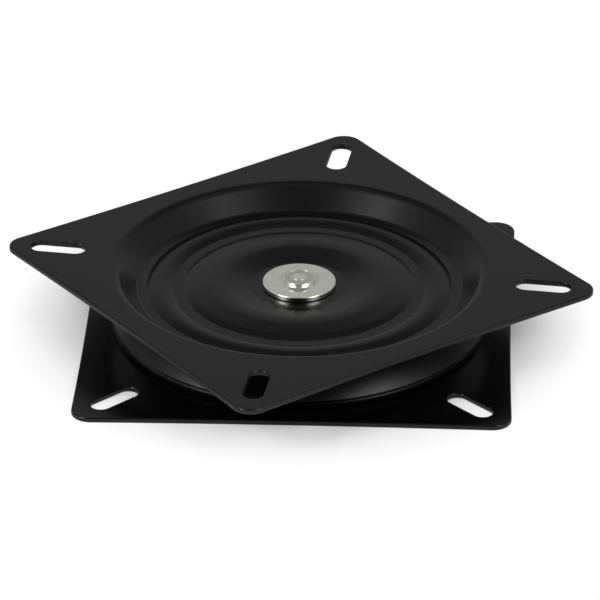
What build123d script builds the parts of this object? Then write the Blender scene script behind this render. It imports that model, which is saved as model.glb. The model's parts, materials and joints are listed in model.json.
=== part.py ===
from build123d import *
import os
from math import atan, cos, degrees, radians, sin, sqrt, tan

# Boat seat swivel. Two equal pressed steel plates face each other, the seat plate turned over on the
# base plate. They turn on a ring of steel balls in a moulded cage, and one rivet through both holds them
# together. The origin is on the swivel axis, at the underside of the base plate, and +Z is up.

# Driving dimensions in millimetres and degrees

# Plates
plate_side = 178.8
side_draw = 1.2
corner_radius = 8.0
sheet = 2.2
height = 26.0
edge_round = 0.5
seat_turn = 37.65

# Pressed dish, measured on the sides of the plates that face each other
flange_margin = 9.6
flange_land = 1.0
shoulder_bend = 3.3
wall_angle = 45.0
valley_gap = 3.8
valley_round = 2.0
valley_width = 5.4
crease_round = 0.4
bead_angle = 26.0
bead_fullness = 6.8
land_width = 5.05
foot_angle = 24.0
brow_bend = 8.0
crown_fall = 0.9
crown_outer = 36.5
crown_inner = 32.0
crown_bend = 18.0
crown_rise = 2.0
seat_radius = 19.5
seat_bend = 20.0

# Bolt slots along the diagonals
slot_count = 4
slot_width = 8.5
slot_length = 23.0
slot_to_corner = 9.2

# Ball ring
ball_diameter = 6.35
ball_count = 24
race_play = 0.12
pocket_play = 0.2
cage_ring_width = 9.8
cage_ring_height = 3.0
cage_wall = 1.0
skirt_reach = 0.4

# Centre rivet
shank_diameter = 10.0
shank_play = 0.1
head_diameter = 14.2
head_height = 1.8
head_flare = 0.3
rim_width = 1.0
rim_rise = 0.25
button_diameter = 5.6
button_rise = 0.3

# Washers and spacer on the rivet
washer_diameter = 30.6
washer_thickness = 2.2
washer_chamfer = 0.3
washer_play = 0.1
spacer_diameter = 24.0
spacer_height = 3.6
spacer_chamfer = 0.4
spacer_play = 0.2

# Sizes that follow from those above

ball_radius = ball_diameter / 2
shank_radius = shank_diameter / 2
bore_radius = shank_radius + shank_play
middle = height / 2
half_side = plate_side / 2
diagonal_angle = 45.0

# Levels of the facing sides, counted from the middle plane between the two plates
valley_level = valley_gap / 2
track_level = ball_radius + race_play
centre_level = (spacer_height + spacer_play) / 2
crown_level = centre_level + crown_rise
brow_level = crown_level - crown_fall
bead_bend = bead_fullness * (track_level - valley_level)
bead_corner_level = track_level + bead_bend * (1 / cos(radians(bead_angle)) - 1)
flange_level = middle - sheet

# Bends that leave the small rounds on the outer sides of the sheet
valley_bend = sheet + valley_round
crease_bend = sheet + crease_round

# Radii of the dish, worked inwards from the flange, where the bead is as wide as its balls need
dish_radius = half_side - side_draw - flange_margin
shoulder_corner = dish_radius - shoulder_bend * tan(radians(wall_angle / 2))
valley_corner = shoulder_corner - (flange_level - valley_level) / tan(radians(wall_angle))
bead_outer = valley_corner - valley_width
bead_half_width = (bead_corner_level - valley_level) / tan(radians(bead_angle))
track_radius = bead_outer - bead_half_width
bead_inner = track_radius - bead_half_width
crown_foot = bead_inner - land_width
crown_brow = crown_foot - (brow_level - valley_level) / tan(radians(foot_angle))

# Skirt of the cage, held off the base plate's wall by the same play as in the valley
cage_play = (valley_gap - cage_wall) / 2
skirt_shift = cage_play * tan(radians(wall_angle / 2))
skirt_foot_level = cage_play - flange_level
skirt_rim_radius = dish_radius + skirt_reach

# Pressing the dish draws each side in to a shallow arc, which makes the corners a little sharper
corner_half_angle = diagonal_angle - degrees(2 * atan(side_draw / half_side))
corner_tip = half_side * sqrt(2) - corner_radius * (1 / sin(radians(corner_half_angle)) - 1)

# Slots, kept a set distance in from the rounded corners
slot_centre = corner_tip - slot_to_corner - slot_length / 2

# Levels of the rivet's stack: the washer under the base is tight, the one on the seat plate has play
seat_face = centre_level + sheet
lower_head = seat_face + washer_thickness
upper_head = seat_face + washer_play + washer_thickness

# Half sections are drawn on this plane, with x outwards and y up from the middle plane
section_plane = Plane(origin=(0, 0, middle), x_dir=(1, 0, 0), z_dir=(0, -1, 0))

os.makedirs("parts", exist_ok=True)


def save(part, name):
    """Label a finished piece and write it to its own file."""
    part.label = name
    export_step(part, f"parts/{name}.step")


# One pressing serves both plates: a dished sheet that joins a flat square flange with slotted corners
with BuildPart() as pressing:
    with BuildSketch(Plane.XZ):
        with BuildLine():
            FilletPolyline(
                (bore_radius, centre_level),
                (seat_radius, centre_level),
                (crown_inner, crown_level),
                (crown_outer, crown_level),
                (crown_brow, brow_level),
                (crown_foot, valley_level),
                (bead_inner, valley_level),
                (track_radius, bead_corner_level),
                (bead_outer, valley_level),
                (valley_corner, valley_level),
                (shoulder_corner, flange_level),
                (dish_radius + flange_land, flange_level),
                radius=[
                    seat_bend,
                    crown_bend,
                    crown_bend,
                    brow_bend,
                    crease_bend,
                    crease_bend,
                    bead_bend,
                    crease_bend,
                    valley_bend,
                    shoulder_bend,
                ],
            )
            offset(amount=sheet, side=Side.LEFT)
        make_face()
    revolve(axis=Axis.Z)
    with BuildSketch(Plane.XY.offset(flange_level)) as outline:
        with BuildLine():
            side_points = [(half_side, -half_side), (half_side - side_draw, 0), (half_side, half_side)]
            for turn in range(0, 360, 90):
                ThreePointArc(*[Vector(*point).rotate(Axis.Z, turn) for point in side_points])
        make_face()
        fillet(outline.vertices(), corner_radius)
        Circle(dish_radius + flange_land, mode=Mode.SUBTRACT)
    extrude(amount=sheet)
    flange_faces = pressing.faces().filter_by(Plane.XY).sort_by(SortBy.AREA)[-2:]
    fillet([edge for face in flange_faces for edge in face.outer_wire().edges()], edge_round)
    with BuildSketch(Plane.XY.offset(flange_level)):
        with PolarLocations(slot_centre, slot_count, start_angle=diagonal_angle):
            SlotOverall(slot_length, slot_width)
    extrude(amount=sheet, mode=Mode.SUBTRACT)

with BuildPart() as seat_plate:
    with Locations(Location((0, 0, middle), (0, 0, seat_turn))):
        add(pressing.part)
save(seat_plate.part, "seat_plate")

with BuildPart() as base_plate:
    with Locations(Location((0, 0, middle), (180, 0, 0))):
        add(pressing.part)
save(base_plate.part, "base_plate")

# Ball cage: a pocketed ring between the tracks, with a thin skirt that follows the base plate's wall
with BuildPart() as ball_cage:
    with BuildSketch(section_plane):
        with BuildLine():
            FilletPolyline(
                (track_radius, -cage_wall / 2),
                (valley_corner + skirt_shift, -cage_wall / 2),
                (shoulder_corner + skirt_shift, skirt_foot_level),
                (dish_radius + flange_land, skirt_foot_level),
                radius=[valley_bend + cage_play, shoulder_bend - cage_play],
            )
            offset(amount=cage_wall, side=Side.LEFT)
        make_face()
    revolve(axis=Axis.Z)
    with BuildSketch():
        Circle(skirt_rim_radius)
    extrude(amount=height, mode=Mode.INTERSECT)
    with BuildSketch(section_plane):
        with Locations((track_radius, 0)):
            Rectangle(cage_ring_width, cage_ring_height)
    revolve(axis=Axis.Z)
    with BuildSketch(Plane.XY.offset(middle)):
        with PolarLocations(track_radius, ball_count):
            Circle(ball_radius + pocket_play)
    extrude(amount=cage_ring_height, both=True, mode=Mode.SUBTRACT)
save(ball_cage.part, "ball_cage")

# Balls, one in each pocket
ball_places = PolarLocations(track_radius, ball_count).locations
for index, place in enumerate(ball_places):
    with BuildPart() as ball:
        with Locations(Location((0, 0, middle)) * place):
            Sphere(ball_radius)
    save(ball.part, f"ball_{index + 1:02d}")


def head_outline(level):
    """Half outline of a rivet head from its centre to the shank, on a washer face at a level."""
    head_radius = head_diameter / 2
    button_radius = button_diameter / 2
    rim_inside = head_radius - rim_width
    top = level + head_height
    floor = top - rim_rise
    return [
        (0, floor + button_rise),
        (button_radius, floor + button_rise),
        (button_radius + button_rise, floor),
        (rim_inside - rim_rise, floor),
        (rim_inside, top),
        (head_radius, top),
        (head_radius - head_flare, level),
        (shank_radius, level),
    ]


with BuildPart() as centre_rivet:
    with BuildSketch(section_plane):
        with BuildLine():
            upper_half = head_outline(upper_head)
            lower_half = [(radius, -level) for radius, level in reversed(head_outline(lower_head))]
            Polyline(*upper_half, *lower_half, close=True)
        make_face()
    revolve(axis=Axis.Z)
save(centre_rivet.part, "centre_rivet")


def ring(diameter, thickness, chamfer_size, bottom):
    """Flat ring that fits the rivet's shank, with its outer edges chamfered."""
    with BuildPart() as piece:
        with BuildSketch(Plane.XY.offset(middle + bottom)):
            Circle(diameter / 2)
            Circle(bore_radius, mode=Mode.SUBTRACT)
        extrude(amount=thickness)
        rims = piece.edges().filter_by(GeomType.CIRCLE).group_by(SortBy.RADIUS)[-1]
        chamfer(rims, chamfer_size)
    return piece.part


save(ring(washer_diameter, washer_thickness, washer_chamfer, seat_face + washer_play), "upper_washer")
save(ring(washer_diameter, washer_thickness, washer_chamfer, -lower_head), "lower_washer")
save(ring(spacer_diameter, spacer_height, spacer_chamfer, -centre_level), "spacer")
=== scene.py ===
"""Boat seat swivel: the pressed plates, riveted hub and ball ring, their finishes, and a small studio."""

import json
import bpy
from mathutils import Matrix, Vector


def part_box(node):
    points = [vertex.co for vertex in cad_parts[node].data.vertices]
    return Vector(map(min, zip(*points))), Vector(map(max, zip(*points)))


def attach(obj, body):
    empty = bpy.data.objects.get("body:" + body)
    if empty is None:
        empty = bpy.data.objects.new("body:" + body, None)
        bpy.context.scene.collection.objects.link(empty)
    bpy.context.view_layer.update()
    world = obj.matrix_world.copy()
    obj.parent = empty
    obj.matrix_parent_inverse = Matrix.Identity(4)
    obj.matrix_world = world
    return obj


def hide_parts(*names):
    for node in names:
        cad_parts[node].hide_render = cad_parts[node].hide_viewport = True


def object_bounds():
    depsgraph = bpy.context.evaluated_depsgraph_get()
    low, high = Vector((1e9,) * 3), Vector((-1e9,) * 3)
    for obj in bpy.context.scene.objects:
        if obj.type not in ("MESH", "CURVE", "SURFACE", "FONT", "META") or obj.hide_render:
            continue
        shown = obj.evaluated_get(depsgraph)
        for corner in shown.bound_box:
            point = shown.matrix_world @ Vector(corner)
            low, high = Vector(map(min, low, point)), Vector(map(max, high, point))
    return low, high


bl_info = {
    "name": "Boat Seat Swivel",
    "version": (1, 0, 0),
    "blender": (4, 5, 0),
    "location": "3D View > Sidebar > Swivel",
    "description": "Models the plates, hub and ball cage of a boat seat swivel, with finishes and a studio",
    "category": "Object",
}

from math import atan2, ceil, copysign, cos, pi, radians, sin, sqrt, tan, tau

import bmesh
import bpy
from bpy.props import FloatProperty, FloatVectorProperty, IntProperty, PointerProperty
from mathutils import Matrix, Vector

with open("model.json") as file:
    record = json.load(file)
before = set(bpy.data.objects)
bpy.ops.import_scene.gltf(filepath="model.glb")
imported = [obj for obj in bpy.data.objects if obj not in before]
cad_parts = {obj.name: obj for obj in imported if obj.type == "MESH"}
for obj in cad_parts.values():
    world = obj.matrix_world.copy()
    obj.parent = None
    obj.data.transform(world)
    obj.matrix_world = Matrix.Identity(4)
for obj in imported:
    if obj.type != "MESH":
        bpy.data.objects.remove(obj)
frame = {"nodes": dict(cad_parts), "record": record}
CAD_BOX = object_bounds()

MM = 0.001
TOUCH = 0.002 * MM
FLOOR_GAP = 0.02 * MM
CORE_GAP = 10 * MM
BEND_STEP = radians(4)
CORNER_STEPS = 24
DRILL_SIDES = 48
EDGE_SEGMENTS = 4
SHARP_ANGLE = radians(60)
PRESSED_SMOOTH = radians(40)
TURNED_SMOOTH = radians(35)
FACING_FADE = 4.0
FRAME_WIDTH = 36.0


# Properties


def length(name, description, millimetres):
    """A size that a user may change, with its default given in millimetres."""
    return FloatProperty(
        name=name,
        description=description,
        default=millimetres * MM,
        min=0.0,
        precision=5,
        subtype="DISTANCE",
        unit="LENGTH",
    )


def angle(name, description, degrees):
    """An angle that a user may change, with its default given in degrees."""
    return FloatProperty(
        name=name,
        description=description,
        default=radians(degrees),
        subtype="ANGLE",
        unit="ROTATION",
    )


def colour(name, description, red, green, blue):
    """A linear colour that a user may change."""
    return FloatVectorProperty(
        name=name,
        description=description,
        default=(red, green, blue),
        min=0.0,
        max=1.0,
        size=3,
        subtype="COLOR",
    )


def share(name, description, default):
    """A number from nothing to one that a user may change."""
    return FloatProperty(
        name=name,
        description=description,
        default=default,
        min=0.0,
        max=1.0,
        subtype="FACTOR",
    )


def place_along(name, description, millimetres):
    """A place along an axis that a user may change, with its default given in millimetres."""
    return FloatProperty(
        name=name,
        description=description,
        default=millimetres * MM,
        precision=5,
        unit="LENGTH",
    )


def light_level(name, description, default):
    """The radiance of a lamp or of part of the sky."""
    return FloatProperty(name=name, description=description, default=default, min=0.0)


class SwivelPlateSizes(bpy.types.PropertyGroup):
    """Sizes of the pressing that serves as both plates."""

    plate_side: length("Plate side", "Side of the square that the corners reach before rounding", 178.8)
    side_draw: length("Side draw", "How far pressing the dish draws each side in at its middle", 1.2)
    corner_radius: length("Corner radius", "Rounding of the plate's corners", 8.0)
    sheet: length("Sheet", "Thickness of the steel sheet", 2.2)
    edge_round: length("Edge round", "Rounding along the sheet's edges", 0.5)
    seat_turn: angle("Seat turn", "How far the seat plate stands round from the base plate", 37.65)
    flange_margin: length("Flange margin", "Flat left between the dish and the middle of a side", 9.6)
    shoulder_bend: length("Shoulder bend", "Bend from the flange into the wall", 3.3)
    wall_angle: angle("Wall angle", "Slope of the dish's wall", 45.0)
    valley_level: length("Valley level", "Level of the valley above the middle plane", 1.9)
    valley_bend: length("Valley bend", "Bend from the wall into the valley", 4.2)
    valley_width: length("Valley width", "Flat between the wall and the bead", 5.4)
    land_width: length("Land width", "Flat between the bead and the foot of the crown", 5.05)
    crease_bend: length("Crease bend", "Bends at the feet of the bead and the crown", 2.6)
    track_level: length("Track level", "Level of the ball track above the middle plane", 3.295)
    bead_angle: angle("Bead angle", "Slope of the bead's sides", 26.0)
    bead_bend: length("Bead bend", "Bend over the bead that holds the balls", 9.486)
    centre_level: length("Centre level", "Level of the flat seat round the rivet", 1.9)
    crown_rise: length("Crown rise", "Rise from the flat seat to the top of the crown", 2.2)
    crown_inner: length("Crown inner", "Radius where the crown's top begins", 32.0)
    crown_outer: length("Crown outer", "Radius where the crown's top ends", 36.5)
    crown_bend: length("Crown bend", "Bends at the edges of the crown's top", 18.0)
    crown_fall: length("Crown fall", "Gentle fall from the crown's top to its brow", 1.2)
    brow_bend: length("Brow bend", "Bend over the brow", 12.0)
    foot_angle: angle("Foot angle", "Slope from the brow down to the crown's foot", 24.0)
    seat_radius: length("Seat radius", "Radius of the flat seat under the washer", 20.3)
    seat_bend: length("Seat bend", "Bend from the flat seat up to the crown", 9.0)
    bore: length("Bore", "Radius of the hole for the rivet", 5.1)
    slot_width: length("Slot width", "Width of the bolt slots", 8.5)
    slot_length: length("Slot length", "Length of the bolt slots", 23.0)
    slot_to_corner: length("Slot to corner", "Metal left between a slot and its corner", 9.2)
    slot_count: IntProperty(name="Slots", description="Bolt slots in each plate", default=4, min=1)
    spin_steps: IntProperty(name="Spin steps", description="Steps of the dish's spin", default=288, min=32)


class SwivelHubSizes(bpy.types.PropertyGroup):
    """Sizes of the rivet and the washers under its heads."""

    shank: length("Shank", "Radius of the rivet's shank", 5.0)
    head: length("Head", "Radius of the rivet's heads", 7.1)
    head_height: length("Head height", "Height of a head above its washer", 1.8)
    head_flare: length("Head flare", "How far a head's side spreads towards its face", 0.3)
    head_round: length("Head round", "Rounding round a head's face", 0.3)
    rim_width: length("Rim width", "Width of the raised rim of a head's face", 1.0)
    rim_rise: length("Rim rise", "Height of the raised rim of a head's face", 0.25)
    button: length("Button", "Radius of the raised middle of a head's face", 2.8)
    button_rise: length("Button rise", "Height of the raised middle of a head's face", 0.3)
    washer: length("Washer", "Radius of the washers", 15.3)
    washer_thickness: length("Washer thickness", "Thickness of the washers", 2.2)
    washer_edge: length("Washer edge", "Break of the washers' outer edges", 0.3)
    washer_bore: length("Washer bore", "Radius of the washers' hole", 5.1)
    spin_steps: IntProperty(name="Spin steps", description="Steps of the hub's spins", default=160, min=32)


class SwivelCageSizes(bpy.types.PropertyGroup):
    """Sizes of the moulded cage that spaces the balls."""

    ring_width: length("Ring width", "Width of the pocketed ring", 9.8)
    ring_height: length("Ring height", "Height of the pocketed ring", 3.0)
    pocket_play: length("Pocket play", "Room round each ball in its pocket", 0.2)
    wall: length("Wall", "Thickness of the web and the skirt", 1.0)
    turn_down: length("Turn down", "Radius at which the web turns down into the skirt", 68.9)
    turn_bend: length("Turn bend", "Bend under the web where it turns down", 5.6)
    skirt_angle: angle("Skirt angle", "Slope of the skirt", 45.0)
    rim: length("Rim", "Radius of the skirt's rim", 77.6)
    rim_round: length("Rim round", "Rounding of the skirt's rim", 0.4)
    spin_steps: IntProperty(name="Spin steps", description="Steps of the cage's spin", default=288, min=32)


class SwivelFinishes(bpy.types.PropertyGroup):
    """Colours and gloss of the finishes."""

    coat: colour("Coat", "Satin black coat of the plates", 0.0015, 0.0015, 0.0016)
    coat_roughness: share("Coat roughness", "Roughness of the plates' coat", 0.22)
    coat_specular: share("Coat specular", "Strength of the coat's mirror gloss", 0.375)
    edge_dullness: share("Edge dullness", "How much rougher the coat is on the sheared edges", 0.35)
    plastic: colour("Plastic", "Moulded black of the cage", 0.003, 0.003, 0.003)
    plastic_roughness: share("Plastic roughness", "Roughness of the cage", 0.32)
    plastic_specular: share("Plastic specular", "Strength of the cage's mirror gloss", 0.4)
    zinc: colour("Zinc", "Bright zinc plate of the rivet and washers", 0.84, 0.85, 0.765)
    zinc_roughness: share("Zinc roughness", "Roughness of the zinc plate", 0.13)
    zinc_cloud: share("Zinc cloud", "How cloudy the flat faces of the zinc plate are", 0.26)
    nylon: colour("Nylon", "Natural nylon of the spacer", 0.75, 0.73, 0.66)
    nylon_roughness: share("Nylon roughness", "Roughness of the spacer", 0.42)
    ball: colour("Ball", "Polished bearing steel", 0.72, 0.72, 0.73)
    ball_roughness: share("Ball roughness", "Roughness of the polished balls", 0.08)


class SwivelStage(bpy.types.PropertyGroup):
    """Camera, lamps and floor."""

    view_azimuth: angle("View azimuth", "Camera's angle round the swivel to the right", 2.32)
    view_elevation: angle("View elevation", "Camera's angle above the floor", 28.3)
    view_distance: length("View distance", "Camera's distance from its aim", 2338.0)
    aim_x: place_along("Aim X", "Camera's aim across", 0.35)
    aim_y: place_along("Aim Y", "Camera's aim in depth", -1.0)
    aim_z: place_along("Aim Z", "Camera's aim in height", 10.71)
    focal_length: FloatProperty(name="Focal length", description="Camera's lens in mm", default=337.1)
    box_distance: length("Softbox distance", "Distance of each softbox from the swivel", 1300.0)
    box_side: length("Softbox side", "Side of each square softbox", 820.0)
    box_level: light_level("Softbox level", "Radiance of a softbox's cloth", 1.8)
    core_side: length("Core side", "Side of the bright core of each softbox", 360.0)
    left_core: light_level("Left core", "Radiance that the left softbox's bright core adds", 13.0)
    right_core: light_level("Right core", "Radiance that the right softbox's bright core adds", 7.5)
    left_azimuth: angle("Left azimuth", "Left softbox, from the right round the back", 218.0)
    right_azimuth: angle("Right azimuth", "Right softbox, from the right round the back", 319.0)
    box_elevation: angle("Softbox elevation", "Softboxes above the floor", 38.0)
    glow_level: light_level("Glow level", "Radiance of the ceiling lit by the softboxes", 0.55)
    glow_tightness: FloatProperty(name="Glow tightness", description="How fast the glow fades", default=9.0)
    left_glow: angle("Left glow", "Azimuth of the glow beside the left softbox", 206.0)
    right_glow: angle("Right glow", "Azimuth of the glow beside the right softbox", 336.0)
    glow_elevation: angle("Glow elevation", "Elevation of the two glows", 48.0)
    wall_level: light_level("Wall level", "Radiance of the room's walls near the floor", 0.30)
    band_level: light_level("Band level", "Radiance of the lit band along the walls", 0.32)
    ceiling_level: light_level("Ceiling level", "Radiance of the ceiling behind the lit band", 0.14)
    top_level: light_level("Top level", "Radiance of the ceiling straight above", 0.24)
    band_foot: angle("Band foot", "Elevation at which the lit band starts", 14.0)
    band_low: angle("Band low", "Elevation from which the band is fully lit", 23.0)
    band_high: angle("Band high", "Elevation up to which the band is fully lit", 32.0)
    band_top: angle("Band top", "Elevation at which the lit band has ended", 47.0)
    top_start: angle("Top start", "Elevation at which the ceiling lightens again", 53.0)
    front_dark: share("Front dark", "How far round to the front the room has gone dark", 0.6)
    floor_side: length("Floor side", "Side of the floor", 12000.0)
    floor: colour("Floor", "Pale floor", 0.86, 0.86, 0.86)
    lift_start: length("Lift start", "Distance from the axis where the floor starts to fade to white", 82.0)
    lift_end: length("Lift end", "Distance from the axis where the floor is plain white", 122.0)


# Modelling


def merge_touching():
    """Select the whole mesh in edit mode and merge the points that meet."""
    bpy.ops.mesh.select_all(action="SELECT")
    bpy.ops.mesh.remove_doubles(threshold=TOUCH)


class Drawing:
    """A line drawn in edit mode as by hand: its end is extruded along runs and spun round bends."""

    def __init__(self, name, start, upright=True, level=0.0):
        self.upright = upright
        self.level = level
        self.end = Vector(start)
        bpy.ops.object.select_all(action="DESELECT")
        bpy.ops.mesh.primitive_plane_add(size=MM)
        self.piece = bpy.context.object
        self.piece.name = name
        self.piece.data.name = name
        bpy.ops.object.mode_set(mode="EDIT")
        bpy.ops.mesh.select_all(action="SELECT")
        bpy.ops.mesh.merge(type="CENTER")
        bpy.ops.transform.translate(value=self.place(self.end))

    def place(self, point):
        """A drawn point in space: an upright drawing stands on X and Z, a flat one lies on X and Y."""
        across, along = point
        return Vector((across, 0, along)) if self.upright else Vector((across, along, self.level))

    def run(self, point):
        """Go on straight to a point."""
        move = self.place(point) - self.place(self.end)
        if move.length > TOUCH:
            bpy.ops.mesh.extrude_region_move(TRANSFORM_OT_translate={"value": move})
            self.end = Vector(point)

    def arc(self, centre, turn, steps=None):
        """Go on round a centre, to the left for a positive turn."""
        axis = (0, 1, 0) if self.upright else (0, 0, -1)
        steps = steps or max(2, ceil(abs(turn) / BEND_STEP))
        bpy.ops.mesh.spin(steps=steps, angle=turn, center=self.place(centre), axis=axis)
        self.end = Vector(centre) + Matrix.Rotation(turn, 2) @ (self.end - Vector(centre))

    def rounded(self, corners, radii):
        """Go on to the last of some corners, with each corner before it rounded to its radius."""
        line = [self.end.copy()] + [Vector(corner) for corner in corners]
        for before, corner, after, radius in zip(line, line[1:], line[2:], radii):
            into = (corner - before).normalized()
            out = (after - corner).normalized()
            turn = atan2(into.cross(out), into.dot(out))
            self.run(corner - into * radius * tan(abs(turn) / 2))
            self.arc(self.end + Vector((-into.y, into.x)) * copysign(radius, turn), turn)
        self.run(line[-1])

    def revolve(self, steps):
        """Spin the line once round the swivel's axis, close it, and turn all its faces the same way."""
        bpy.ops.mesh.select_all(action="SELECT")
        bpy.ops.mesh.spin(steps=steps, angle=tau, center=(0, 0, 0), axis=(0, 0, 1), use_auto_merge=True)
        merge_touching()
        bpy.ops.mesh.normals_make_consistent(inside=False)

    def done(self):
        """Leave edit mode and hand over the piece."""
        bpy.ops.object.mode_set(mode="OBJECT")
        return self.piece


def choose(*pieces):
    """Select some pieces alone, the first one active."""
    bpy.ops.object.select_all(action="DESELECT")
    for piece in pieces:
        piece.select_set(True)
    bpy.context.view_layer.objects.active = pieces[0]


def modify(piece, kind, **settings):
    """Add a modifier to the active piece, set it and apply it."""
    bpy.ops.object.modifier_add(type=kind)
    modifier = piece.modifiers[-1]
    for name, value in settings.items():
        setattr(modifier, name, value)
    bpy.ops.object.modifier_apply(modifier=modifier.name)


def even_shading(piece):
    """Let the large faces of the active piece shade flat beside its small rounds."""
    modify(piece, "WEIGHTED_NORMAL", mode="FACE_AREA", weight=100, keep_sharp=True)


def copy_of(piece, name):
    """Copy a piece with its own mesh."""
    choose(piece)
    bpy.ops.object.duplicate()
    copy = bpy.context.object
    copy.name = name
    copy.data.name = name
    return copy


def settle(piece, location=(0, 0, 0), rotation=(0, 0, 0)):
    """Put a piece in its place and keep the place in its mesh."""
    choose(piece)
    piece.location = location
    piece.rotation_euler = rotation
    bpy.ops.object.transform_apply(location=True, rotation=True, scale=True)


def mount(piece, body, slot, finish, *nodes):
    """Give a piece its finish, and let it ride on a body in place of the nodes it stands for."""
    piece.data.materials.clear()
    piece.data.materials.append(finish)
    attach(piece, body)
    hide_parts(*nodes)


def draw_dish(sizes, flange_level, rim):
    """Spin the pressed dish from the bore to the flange, as its facing side."""
    dish = sizes.plate_side / 2 - sizes.side_draw - sizes.flange_margin
    shoulder = dish - sizes.shoulder_bend * tan(sizes.wall_angle / 2)
    valley = shoulder - (flange_level - sizes.valley_level) / tan(sizes.wall_angle)
    bead_outer = valley - sizes.valley_width
    bead_corner = sizes.track_level + sizes.bead_bend * (1 / cos(sizes.bead_angle) - 1)
    half_bead = (bead_corner - sizes.valley_level) / tan(sizes.bead_angle)
    track = bead_outer - half_bead
    bead_inner = track - half_bead
    foot = bead_inner - sizes.land_width
    crown_level = sizes.centre_level + sizes.crown_rise
    brow_level = crown_level - sizes.crown_fall
    brow = foot - (brow_level - sizes.valley_level) / tan(sizes.foot_angle)
    drawing = Drawing("dish", (sizes.bore, sizes.centre_level))
    drawing.rounded(
        [
            (sizes.seat_radius, sizes.centre_level),
            (sizes.crown_inner, crown_level),
            (sizes.crown_outer, crown_level),
            (brow, brow_level),
            (foot, sizes.valley_level),
            (bead_inner, sizes.valley_level),
            (track, bead_corner),
            (bead_outer, sizes.valley_level),
            (valley, sizes.valley_level),
            (shoulder, flange_level),
            (rim, flange_level),
        ],
        [
            sizes.seat_bend,
            sizes.crown_bend,
            sizes.crown_bend,
            sizes.brow_bend,
            sizes.crease_bend,
            sizes.crease_bend,
            sizes.bead_bend,
            sizes.crease_bend,
            sizes.valley_bend,
            sizes.shoulder_bend,
        ],
    )
    drawing.revolve(sizes.spin_steps)
    return drawing.done()


def draw_outline(sizes, level):
    """Draw the flange's outline: four sides drawn in to shallow arcs, and four rounded corners."""
    half = sizes.plate_side / 2
    draw_radius = (half * half + sizes.side_draw ** 2) / (2 * sizes.side_draw)
    draw_centre = half - sizes.side_draw + draw_radius
    reach = draw_radius + sizes.corner_radius
    corner = (draw_centre - sqrt(2 * reach * reach - draw_centre ** 2)) / 2
    side_turn = 2 * atan2(corner, draw_centre - corner)
    corner_turn = pi / 2 + side_turn
    corner_centre = Vector((corner, corner))
    outwards = (Vector((draw_centre, 0)) - corner_centre).normalized()
    tangent = corner_centre + outwards * sizes.corner_radius
    drawing = Drawing("outline", (tangent.x, -tangent.y), upright=False, level=level)
    for quarter in range(4):
        turned = Matrix.Rotation(quarter * pi / 2, 2)
        drawing.arc(turned @ Vector((draw_centre, 0)), -side_turn, steps=CORNER_STEPS)
        drawing.arc(turned @ corner_centre, corner_turn, steps=CORNER_STEPS)
    merge_touching()
    return drawing.done(), corner * sqrt(2) + sizes.corner_radius


def draw_slots(sizes, level, corner_tip):
    """Draw one slot's outline along a diagonal and copy it round to the other corners."""
    half_width = sizes.slot_width / 2
    far = corner_tip - sizes.slot_to_corner - half_width
    near = far + sizes.slot_width - sizes.slot_length
    drawing = Drawing("slots", (near, -half_width), upright=False, level=level)
    drawing.run((far, -half_width))
    drawing.arc((far, 0), pi, steps=CORNER_STEPS)
    drawing.run((near, half_width))
    drawing.arc((near, 0), pi, steps=CORNER_STEPS)
    merge_touching()
    bpy.ops.transform.rotate(value=-pi / 4, orient_axis="Z", center_override=(0, 0, level))
    turn = tau / sizes.slot_count
    steps = sizes.slot_count - 1
    bpy.ops.mesh.spin(steps=steps, angle=turn * steps, center=(0, 0, level), axis=(0, 0, 1), dupli=True)
    return drawing.done()


def press_plate(sizes, middle):
    """Model the pressing with its facing side down, from the dish, the outline and the slots."""
    flange_level = middle - sizes.sheet
    rim = sizes.plate_side / 2 - sizes.side_draw - sizes.flange_margin + MM
    dish = draw_dish(sizes, flange_level, rim)
    outline, corner_tip = draw_outline(sizes, flange_level)
    slots = draw_slots(sizes, flange_level, corner_tip)
    choose(dish, outline, slots)
    bpy.ops.object.join()
    bpy.ops.object.mode_set(mode="EDIT")
    bpy.ops.mesh.select_mode(type="EDGE")
    bpy.ops.mesh.select_all(action="DESELECT")
    mesh = bmesh.from_edit_mesh(dish.data)
    for edge in mesh.edges:
        edge.select_set(all(vertex.co.to_2d().length > rim - TOUCH for vertex in edge.verts))
    bmesh.update_edit_mesh(dish.data)
    bpy.ops.mesh.fill(use_beauty=True)
    merge_touching()
    bpy.ops.mesh.normals_make_consistent(inside=False)
    mesh = bmesh.from_edit_mesh(dish.data)
    if sum(face.normal.z * face.calc_area() for face in mesh.faces) < 0:
        bpy.ops.mesh.flip_normals()
    bpy.ops.mesh.select_mode(type="VERT")
    bpy.ops.object.mode_set(mode="OBJECT")
    choose(dish)
    modify(
        dish,
        "SOLIDIFY",
        thickness=sizes.sheet,
        offset=1.0,
        use_even_offset=True,
        use_quality_normals=True,
    )
    modify(
        dish,
        "BEVEL",
        width=sizes.edge_round,
        segments=EDGE_SEGMENTS,
        limit_method="ANGLE",
        angle_limit=SHARP_ANGLE,
        loop_slide=False,
        use_clamp_overlap=False,
    )
    bpy.ops.object.shade_smooth_by_angle(angle=PRESSED_SMOOTH)
    even_shading(dish)
    return dish


def turn_head(sizes, level, up):
    """Corners and roundings of half a rivet head's section, from its middle to the shank."""
    top = level + sizes.head_height
    floor = top - sizes.rim_rise
    rim_inside = sizes.head - sizes.rim_width
    corners = [
        (0, floor + sizes.button_rise),
        (sizes.button, floor + sizes.button_rise),
        (sizes.button + sizes.button_rise, floor),
        (rim_inside - sizes.rim_rise, floor),
        (rim_inside, top),
        (sizes.head, top),
        (sizes.head - sizes.head_flare, level),
        (sizes.shank, level),
    ]
    fine = sizes.head_round / 3
    radii = [0, fine, fine, fine, fine, sizes.head_round, fine / 2, 0]
    points = [(radius, height * up) for radius, height in corners]
    return points, radii


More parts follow.
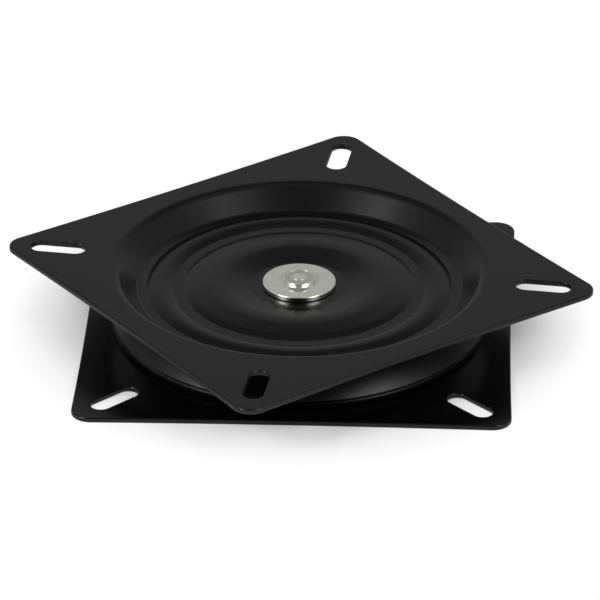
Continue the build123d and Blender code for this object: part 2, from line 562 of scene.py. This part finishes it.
def turn_rivet(sizes, middle, upper, lower):
    """Spin the rivet with a turned head at each end."""
    top_corners, top_radii = turn_head(sizes, upper, 1)
    low_corners, low_radii = turn_head(sizes, lower, -1)
    corners = top_corners + low_corners[::-1]
    radii = top_radii + low_radii[::-1]
    drawing = Drawing("centre_rivet_turned", corners[0])
    drawing.rounded(corners[1:], radii[1:-1])
    drawing.revolve(sizes.spin_steps)
    piece = drawing.done()
    settle(piece, location=(0, 0, middle))
    bpy.ops.object.shade_smooth_by_angle(angle=TURNED_SMOOTH)
    return piece


def turn_washer(name, sizes, bottom):
    """Spin a flat washer whose outer edges are broken and rounded."""
    top = bottom + sizes.washer_thickness
    edge = sizes.washer_edge
    corners = [
        (sizes.washer_bore, bottom),
        (sizes.washer - edge, bottom),
        (sizes.washer, bottom + edge),
        (sizes.washer, top - edge),
        (sizes.washer - edge, top),
        (sizes.washer_bore, top),
        (sizes.washer_bore, bottom),
    ]
    drawing = Drawing(name, corners[0])
    drawing.rounded(corners[1:], [edge / 2] * 4 + [0])
    drawing.revolve(sizes.spin_steps)
    piece = drawing.done()
    choose(piece)
    bpy.ops.object.shade_smooth_by_angle(angle=TURNED_SMOOTH)
    even_shading(piece)
    return piece


def draw_drill(name, radius, depth, track, count):
    """Set a drill for the pockets upright on the ball track, and copy it round."""
    bpy.ops.object.select_all(action="DESELECT")
    bpy.ops.mesh.primitive_cylinder_add(vertices=DRILL_SIDES, radius=radius, depth=depth)
    drill = bpy.context.object
    drill.name = name
    bpy.ops.object.mode_set(mode="EDIT")
    bpy.ops.mesh.select_all(action="SELECT")
    bpy.ops.transform.translate(value=(track, 0, 0))
    steps = count - 1
    bpy.ops.mesh.spin(steps=steps, angle=tau / count * steps, center=(0, 0, 0), axis=(0, 0, 1), dupli=True)
    bpy.ops.mesh.select_all(action="SELECT")
    bpy.ops.mesh.normals_make_consistent(inside=False)
    bpy.ops.object.mode_set(mode="OBJECT")
    return drill


def mould_cage(sizes, track, ball, count, middle):
    """Spin the cage's ring, web and skirt as one section, and drill the ring's pockets."""
    wall = sizes.wall
    half_wall = wall / 2
    inside = track - sizes.ring_width / 2
    outside = track + sizes.ring_width / 2
    half_height = sizes.ring_height / 2
    turn_up = sizes.turn_down + wall * tan(sizes.skirt_angle / 2)
    rim_top = half_wall - (sizes.rim - turn_up) * tan(sizes.skirt_angle)
    rim_in = sizes.rim - wall * sin(sizes.skirt_angle)
    rim_low = rim_top - wall * cos(sizes.skirt_angle)
    drawing = Drawing("ball_cage_moulded", (inside, half_height))
    drawing.rounded(
        [
            (outside, half_height),
            (outside, half_wall),
            (turn_up, half_wall),
            (sizes.rim, rim_top),
            (rim_in, rim_low),
            (sizes.turn_down, -half_wall),
            (outside, -half_wall),
            (outside, -half_height),
            (inside, -half_height),
            (inside, half_height),
        ],
        [0, 0, sizes.turn_bend + wall, sizes.rim_round, sizes.rim_round, sizes.turn_bend, 0, 0, 0],
    )
    drawing.revolve(sizes.spin_steps)
    cage = drawing.done()
    drill = draw_drill("pocket_drill", ball + sizes.pocket_play, 3 * sizes.ring_height, track, count)
    choose(cage)
    modify(cage, "BOOLEAN", operation="DIFFERENCE", object=drill, solver="EXACT")
    choose(drill)
    bpy.ops.object.delete()
    settle(cage, location=(0, 0, middle))
    bpy.ops.object.shade_smooth_by_angle(angle=TURNED_SMOOTH)
    return cage


# Finishes


class Wire:
    """A shader value that does sums: each operator adds the Math node that it needs."""

    def __init__(self, nodes, socket):
        self.nodes = nodes
        self.socket = socket

    def maths(self, operation, first, second):
        """A Math node on two values, links or numbers."""
        return self.nodes.node("ShaderNodeMath", {"operation": operation}, {0: first, 1: second})

    def __add__(self, other):
        return self.maths("ADD", self, other)

    def __radd__(self, other):
        return self.maths("ADD", other, self)

    def __sub__(self, other):
        return self.maths("SUBTRACT", self, other)

    def __rsub__(self, other):
        return self.maths("SUBTRACT", other, self)

    def __mul__(self, other):
        return self.maths("MULTIPLY", self, other)

    def __rmul__(self, other):
        return self.maths("MULTIPLY", other, self)

    def __pow__(self, other):
        return self.maths("POWER", self, other)

    def __or__(self, other):
        return self.maths("MAXIMUM", self, other)

    def __abs__(self):
        return self.nodes.node("ShaderNodeMath", {"operation": "ABSOLUTE"}, {0: self})


class Nodes:
    """A node tree and the one way to add to it."""

    def __init__(self, tree):
        self.tree = tree
        tree.nodes.clear()

    def node(self, kind, settings, inputs, output=0):
        """Add a node, make its settings, then fill or link its sockets, and give one of its outputs."""
        made = self.tree.nodes.new(kind)
        for name, value in settings.items():
            if name == "stops":
                self.set_stops(made.color_ramp, value)
            else:
                setattr(made, name, value)
        for socket, value in inputs.items():
            if isinstance(value, Wire):
                self.tree.links.new(value.socket, made.inputs[socket])
            else:
                made.inputs[socket].default_value = value
        return Wire(self, made.outputs[output]) if made.outputs else None

    def set_stops(self, ramp, stops):
        """Set a ramp's stops, each a place and a grey level."""
        while len(ramp.elements) < len(stops):
            ramp.elements.new(1.0)
        for element, (place, level) in zip(ramp.elements, stops):
            element.position = place
            element.color = (level, level, level, 1.0)

    def place(self):
        """Where a point lies on the piece."""
        return self.node("ShaderNodeTexCoord", {}, {}, "Object")

    def upright(self):
        """One where the surface faces up or down, and none on upright sides."""
        facing = self.node("ShaderNodeTexCoord", {}, {}, "Normal")
        return abs(self.node("ShaderNodeSeparateXYZ", {}, {0: facing}, "Z"))

    def sway(self, noise, amount):
        """A change to either side of nothing, as a noise varies, that is an amount in all."""
        return (noise - 0.5) * amount

    def noise(self, place, size, detail=2.0):
        """Noise whose grains are about as large as a size."""
        inputs = {"Vector": place, "Scale": 1 / size, "Detail": detail}
        return self.node("ShaderNodeTexNoise", {"noise_dimensions": "3D"}, inputs)

    def rings(self, radius, size, detail=2.0):
        """Noise that only changes outwards, as a lathe leaves it."""
        inputs = {"W": radius, "Scale": 1 / size, "Detail": detail}
        return self.node("ShaderNodeTexNoise", {"noise_dimensions": "1D"}, inputs)

    def radius(self, place):
        """Distance from the swivel's axis."""
        across = self.node("ShaderNodeSeparateXYZ", {}, {0: place}, "X")
        deep = self.node("ShaderNodeSeparateXYZ", {}, {0: place}, "Y")
        return (across * across + deep * deep) ** 0.5

    def ring(self, radius, middle, half_width):
        """One on a circle round the axis, fading to none at a distance from it."""
        limits = {"From Min": half_width, "From Max": half_width / 2}
        return self.node("ShaderNodeMapRange", {}, {"Value": abs(radius - middle), **limits})

    def tone(self, colour_value, factor, low, high):
        """A colour whose lightness goes from low to high times its own as a factor grows."""
        dark = [*(part * low for part in colour_value), 1.0]
        light = [*(part * high for part in colour_value), 1.0]
        settings = {"data_type": "RGBA", "clamp_result": True}
        return self.node("ShaderNodeMix", settings, {0: factor, 6: dark, 7: light}, 2)

    def shown(self):
        """One for what the camera sees straight, in a mirror or through glass."""
        rays = [
            self.node("ShaderNodeLightPath", {}, {}, name)
            for name in ("Is Camera Ray", "Is Glossy Ray", "Is Transmission Ray")
        ]
        return rays[0] | rays[1] | rays[2]

    def relief(self, height, depth):
        """A surface normal from a height and the depth of its relief."""
        return self.node("ShaderNodeBump", {}, {"Height": height, "Distance": depth})

    def surface(self, inputs):
        """Give the tree a Principled surface."""
        shader = self.node("ShaderNodeBsdfPrincipled", {}, inputs)
        self.node("ShaderNodeOutputMaterial", {}, {"Surface": shader})


def new_finish(name):
    """An empty material and its nodes."""
    finish = bpy.data.materials.new(name)
    finish.use_nodes = True
    return finish, Nodes(finish.node_tree)


def satin_coat(finishes):
    """Satin black coat with a faint orange peel and slow changes of gloss, duller on sheared edges."""
    finish, nodes = new_finish("satin_black_coat")
    place = nodes.place()
    cloud = nodes.noise(place, size=40 * MM, detail=3.0)
    peel = nodes.noise(place, size=1.6 * MM, detail=1.0)
    grain = nodes.noise(place, size=0.35 * MM)
    sheared = (1.0 - nodes.upright()) ** FACING_FADE
    gloss = nodes.sway(cloud, amount=0.08) + nodes.sway(grain, amount=0.06)
    nodes.surface(
        {
            "Base Color": nodes.tone(finishes.coat, cloud, low=0.7, high=1.3),
            "Roughness": finishes.coat_roughness + gloss + sheared * finishes.edge_dullness,
            "Specular IOR Level": finishes.coat_specular,
            "Normal": nodes.relief(peel + grain * 0.3, depth=0.004 * MM),
        }
    )
    return finish


def moulded_plastic(finishes):
    """Moulded black plastic with a fine skin."""
    finish, nodes = new_finish("moulded_black_plastic")
    place = nodes.place()
    cloud = nodes.noise(place, size=25 * MM)
    skin = nodes.noise(place, size=0.5 * MM)
    gloss = nodes.sway(cloud, amount=0.06) + nodes.sway(skin, amount=0.05)
    nodes.surface(
        {
            "Base Color": nodes.tone(finishes.plastic, cloud, low=0.8, high=1.2),
            "Roughness": finishes.plastic_roughness + gloss,
            "Specular IOR Level": finishes.plastic_specular,
            "Normal": nodes.relief(skin, depth=0.003 * MM),
        }
    )
    return finish


def zinc_plate(finishes, hub):
    """Bright zinc over turned steel: cloudy flat faces, lathe rings, and the colour darkened in a ring over
    the recessed floor of the rivet's heads.
    """
    finish, nodes = new_finish("bright_zinc_plate")
    place = nodes.place()
    radius = nodes.radius(place)
    bloom = nodes.noise(place, size=4 * MM, detail=3.0)
    mottle = nodes.noise(place, size=0.9 * MM)
    broad = nodes.rings(radius, size=1.1 * MM, detail=1.0)
    fine = nodes.rings(radius, size=0.25 * MM)
    rim_inside = hub.head - hub.rim_width
    middle = (hub.button + hub.button_rise + rim_inside) / 2
    # The base colour is darkened in a ring over the recessed floor of each head's face, between the button
    # and the rim.
    darker_ring = nodes.ring(radius, middle, rim_inside - middle)
    flat = nodes.upright() ** FACING_FADE
    marks = bloom * 0.4 + mottle * 0.3 + broad * 0.3 - darker_ring * 0.65
    gloss = nodes.sway(bloom, amount=0.08) + nodes.sway(fine, amount=0.06)
    nodes.surface(
        {
            "Base Color": nodes.tone(finishes.zinc, marks, low=0.72, high=1.25),
            "Metallic": 1.0 - flat * finishes.zinc_cloud,
            "Roughness": finishes.zinc_roughness + gloss,
            "Normal": nodes.relief(broad * 0.6 + fine * 0.4, depth=0.004 * MM),
        }
    )
    return finish


def natural_nylon(finishes):
    """Natural nylon, a little cloudy."""
    finish, nodes = new_finish("natural_nylon")
    cloud = nodes.noise(nodes.place(), size=6 * MM)
    nodes.surface(
        {
            "Base Color": nodes.tone(finishes.nylon, cloud, low=0.92, high=1.05),
            "Roughness": finishes.nylon_roughness + nodes.sway(cloud, amount=0.1),
        }
    )
    return finish


def ball_steel(finishes):
    """Polished bearing steel under a thin film of grease."""
    finish, nodes = new_finish("polished_ball_steel")
    film = nodes.noise(nodes.place(), size=1.5 * MM)
    nodes.surface(
        {
            "Base Color": nodes.tone(finishes.ball, film, low=0.9, high=1.05),
            "Metallic": 1.0,
            "Roughness": finishes.ball_roughness + film * 0.12,
        }
    )
    return finish


# Stage


def direction(azimuth, elevation):
    """Direction from the swivel, with the azimuth counted from the right round the back."""
    return Vector((cos(azimuth) * cos(elevation), sin(azimuth) * cos(elevation), sin(elevation)))


def add_camera(stage):
    """Put the camera at the viewing angle and make it the scene's camera."""
    aim = Vector((stage.aim_x, stage.aim_y, stage.aim_z))
    back = direction(stage.view_azimuth - pi / 2, stage.view_elevation)
    bpy.ops.object.camera_add(location=aim + back * stage.view_distance)
    camera = bpy.context.object
    camera.name = "camera"
    camera.rotation_euler = back.to_track_quat("Z", "Y").to_euler()
    camera.data.sensor_width = FRAME_WIDTH
    camera.data.lens = stage.focal_length
    bpy.context.scene.camera = camera


def add_panel(name, back, distance, side, level):
    """Add a square lamp of a given radiance that faces the swivel."""
    bpy.ops.object.light_add(type="AREA", location=back * distance)
    lamp = bpy.context.object
    lamp.name = name
    lamp.rotation_euler = back.to_track_quat("Z", "Y").to_euler()
    lamp.data.shape = "SQUARE"
    lamp.data.size = side
    lamp.data.energy = level * pi * side ** 2


def add_softbox(name, stage, azimuth, core_level):
    """Add a softbox: a wide cloth and, just in front, the brighter core where its flash sits."""
    back = direction(azimuth, stage.box_elevation)
    add_panel(name, back, stage.box_distance, stage.box_side, stage.box_level)
    add_panel(name + "_core", back, stage.box_distance - CORE_GAP, stage.core_side, core_level)


def add_floor(stage, level):
    """Lay a pale floor that shows close to white and keeps the swivel's shadow."""
    bpy.ops.object.select_all(action="DESELECT")
    bpy.ops.mesh.primitive_plane_add(size=stage.floor_side, location=(0, 0, level - FLOOR_GAP))
    floor = bpy.context.object
    floor.name = "floor"
    finish, nodes = new_finish("pale_floor")
    cloud = nodes.noise(nodes.place(), size=400 * MM)
    base = nodes.tone(stage.floor, cloud, low=0.99, high=1.01)
    matt = nodes.node("ShaderNodeBsdfDiffuse", {}, {"Color": base})
    white = nodes.node("ShaderNodeEmission", {}, {"Color": (1, 1, 1, 1), "Strength": 1.0})
    limits = {"From Min": stage.lift_start, "From Max": stage.lift_end}
    far = nodes.node("ShaderNodeMapRange", {}, {"Value": nodes.radius(nodes.place()), **limits})
    mixed = nodes.node("ShaderNodeMixShader", {}, {0: nodes.shown() * far, 1: matt, 2: white})
    nodes.node("ShaderNodeOutputMaterial", {}, {"Surface": mixed})
    floor.data.materials.append(finish)


def light_room(stage):
    """Light the room by height, with a dark front and two glows, and show it white to the camera."""
    world = bpy.data.worlds.new("studio_room")
    world.use_nodes = True
    bpy.context.scene.world = world
    nodes = Nodes(world.node_tree)
    ray = nodes.node("ShaderNodeTexCoord", {}, {}, "Generated")
    height = nodes.node("ShaderNodeSeparateXYZ", {}, {0: ray}, "Z")
    depth = nodes.node("ShaderNodeSeparateXYZ", {}, {0: ray}, "Y")
    stops = [
        (sin(stage.band_foot), stage.wall_level),
        (sin(stage.band_low), stage.band_level),
        (sin(stage.band_high), stage.band_level),
        (sin(stage.band_top), stage.ceiling_level),
        (sin(stage.top_start), stage.ceiling_level),
        (1.0, stage.top_level),
    ]
    walls = nodes.node("ShaderNodeValToRGB", {"stops": stops}, {0: height})
    limits = {"From Min": -stage.front_dark, "From Max": 0.0}
    lit = nodes.node("ShaderNodeMapRange", {"interpolation_type": "SMOOTHSTEP"}, {"Value": depth, **limits})
    room = walls * lit
    for azimuth in (stage.left_glow, stage.right_glow):
        towards = direction(azimuth, stage.glow_elevation)
        settings = {"operation": "DOT_PRODUCT"}
        facing = nodes.node("ShaderNodeVectorMath", settings, {0: ray, 1: towards}, "Value")
        room = room + (facing | 0.0) ** stage.glow_tightness * stage.glow_level
    camera = nodes.node("ShaderNodeLightPath", {}, {}, "Is Camera Ray")
    seen = room + camera * (1.0 - room)
    shader = nodes.node("ShaderNodeBackground", {}, {"Color": seen, "Strength": 1.0})
    nodes.node("ShaderNodeOutputWorld", {}, {"Surface": shader})


# Operators


class SWIVEL_OT_plates(bpy.types.Operator):
    """Model the pressing once, and set it as the base plate and, turned over, as the seat plate"""

    bl_idname = "swivel.plates"
    bl_label = "Pressed plates"
    bl_options = {"REGISTER", "UNDO"}

    def execute(self, context):
        sizes = context.scene.swivel_plates
        middle = CAD_BOX[1].z / 2
        coat = satin_coat(context.scene.swivel_finishes)
        seat = press_plate(sizes, middle)
        seat.name = "seat_plate_pressed"
        seat.data.name = "seat_plate_pressed"
        base = copy_of(seat, "base_plate_pressed")
        settle(seat, (0, 0, middle), (0, 0, sizes.seat_turn))
        settle(base, (0, 0, middle), (pi, 0, 0))
        mount(seat, "seat", "black_steel", coat, "seat_plate")
        mount(base, "base", "black_steel", coat, "base_plate")
        return {"FINISHED"}


class SWIVEL_OT_hub(bpy.types.Operator):
    """Turn the centre rivet and its two washers"""

    bl_idname = "swivel.hub"
    bl_label = "Rivet and washers"
    bl_options = {"REGISTER", "UNDO"}

    def execute(self, context):
        sizes = context.scene.swivel_hub
        middle = CAD_BOX[1].z / 2
        zinc = zinc_plate(context.scene.swivel_finishes, sizes)
        for name in ("upper_washer", "lower_washer"):
            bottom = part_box(name)[0].z
            washer = turn_washer(name + "_turned", sizes, bottom)
            mount(washer, "base", "zinc_steel", zinc, name)
        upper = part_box("upper_washer")[1].z - middle
        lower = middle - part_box("lower_washer")[0].z
        rivet = turn_rivet(sizes, middle, upper, lower)
        mount(rivet, "base", "zinc_steel", zinc, "centre_rivet")
        return {"FINISHED"}


class SWIVEL_OT_ball_ring(bpy.types.Operator):
    """Mould the cage, and finish the balls and the spacer"""

    bl_idname = "swivel.ball_ring"
    bl_label = "Cage, balls and spacer"
    bl_options = {"REGISTER", "UNDO"}

    def execute(self, context):
        finishes = context.scene.swivel_finishes
        by_slot = {"pale_nylon": natural_nylon(finishes), "ball_steel": ball_steel(finishes)}
        balls = []
        for part in frame["record"]["subparts"]:
            finish = by_slot.get(part["material_slot"])
            if part["material_slot"] == "ball_steel":
                balls.append(part["node"])
            if finish:
                for slot in frame["nodes"][part["node"]].material_slots:
                    slot.material = finish
        low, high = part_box(balls[0])
        track = ((low + high) / 2).to_2d().length
        middle = CAD_BOX[1].z / 2
        cage = mould_cage(context.scene.swivel_cage, track, (high.z - low.z) / 2, len(balls), middle)
        mount(cage, "ball_ring", "black_plastic", moulded_plastic(finishes), "ball_cage")
        return {"FINISHED"}


class SWIVEL_OT_stage(bpy.types.Operator):
    """Set the camera, the softboxes, the room and the floor"""

    bl_idname = "swivel.stage"
    bl_label = "Stage"
    bl_options = {"REGISTER", "UNDO"}

    def execute(self, context):
        stage = context.scene.swivel_stage
        add_camera(stage)
        add_softbox("left_softbox", stage, stage.left_azimuth, stage.left_core)
        add_softbox("right_softbox", stage, stage.right_azimuth, stage.right_core)
        add_floor(stage, CAD_BOX[0].z)
        light_room(stage)
        context.scene.view_settings.view_transform = "Standard"
        return {"FINISHED"}


class SWIVEL_PT_panel(bpy.types.Panel):
    """Lists the swivel's operators and sizes"""

    bl_idname = "SWIVEL_PT_panel"
    bl_label = "Boat seat swivel"
    bl_space_type = "VIEW_3D"
    bl_region_type = "UI"
    bl_category = "Swivel"

    def draw(self, context):
        for operator in OPERATORS:
            self.layout.operator(operator.bl_idname)
        for group in GROUPS:
            box = self.layout.box()
            sizes = getattr(context.scene, group)
            for name in sizes.bl_rna.properties.keys():
                if name not in {"rna_type", "name"}:
                    box.prop(sizes, name)


GROUPS = {
    "swivel_plates": SwivelPlateSizes,
    "swivel_hub": SwivelHubSizes,
    "swivel_cage": SwivelCageSizes,
    "swivel_finishes": SwivelFinishes,
    "swivel_stage": SwivelStage,
}
OPERATORS = (SWIVEL_OT_plates, SWIVEL_OT_hub, SWIVEL_OT_ball_ring, SWIVEL_OT_stage)
CLASSES = (*GROUPS.values(), *OPERATORS, SWIVEL_PT_panel)


def register():
    """Register the classes and give each scene the swivel's properties."""
    for item in CLASSES:
        bpy.utils.register_class(item)
    for name, group in GROUPS.items():
        setattr(bpy.types.Scene, name, PointerProperty(type=group))


def unregister():
    """Take the properties and the classes away again."""
    for name in GROUPS:
        delattr(bpy.types.Scene, name)
    for item in reversed(CLASSES):
        bpy.utils.unregister_class(item)


def main():
    """Build everything in order."""
    register()
    bpy.ops.swivel.plates()
    bpy.ops.swivel.hub()
    bpy.ops.swivel.ball_ring()
    bpy.ops.swivel.stage()


if __name__ == "__main__":
    main()
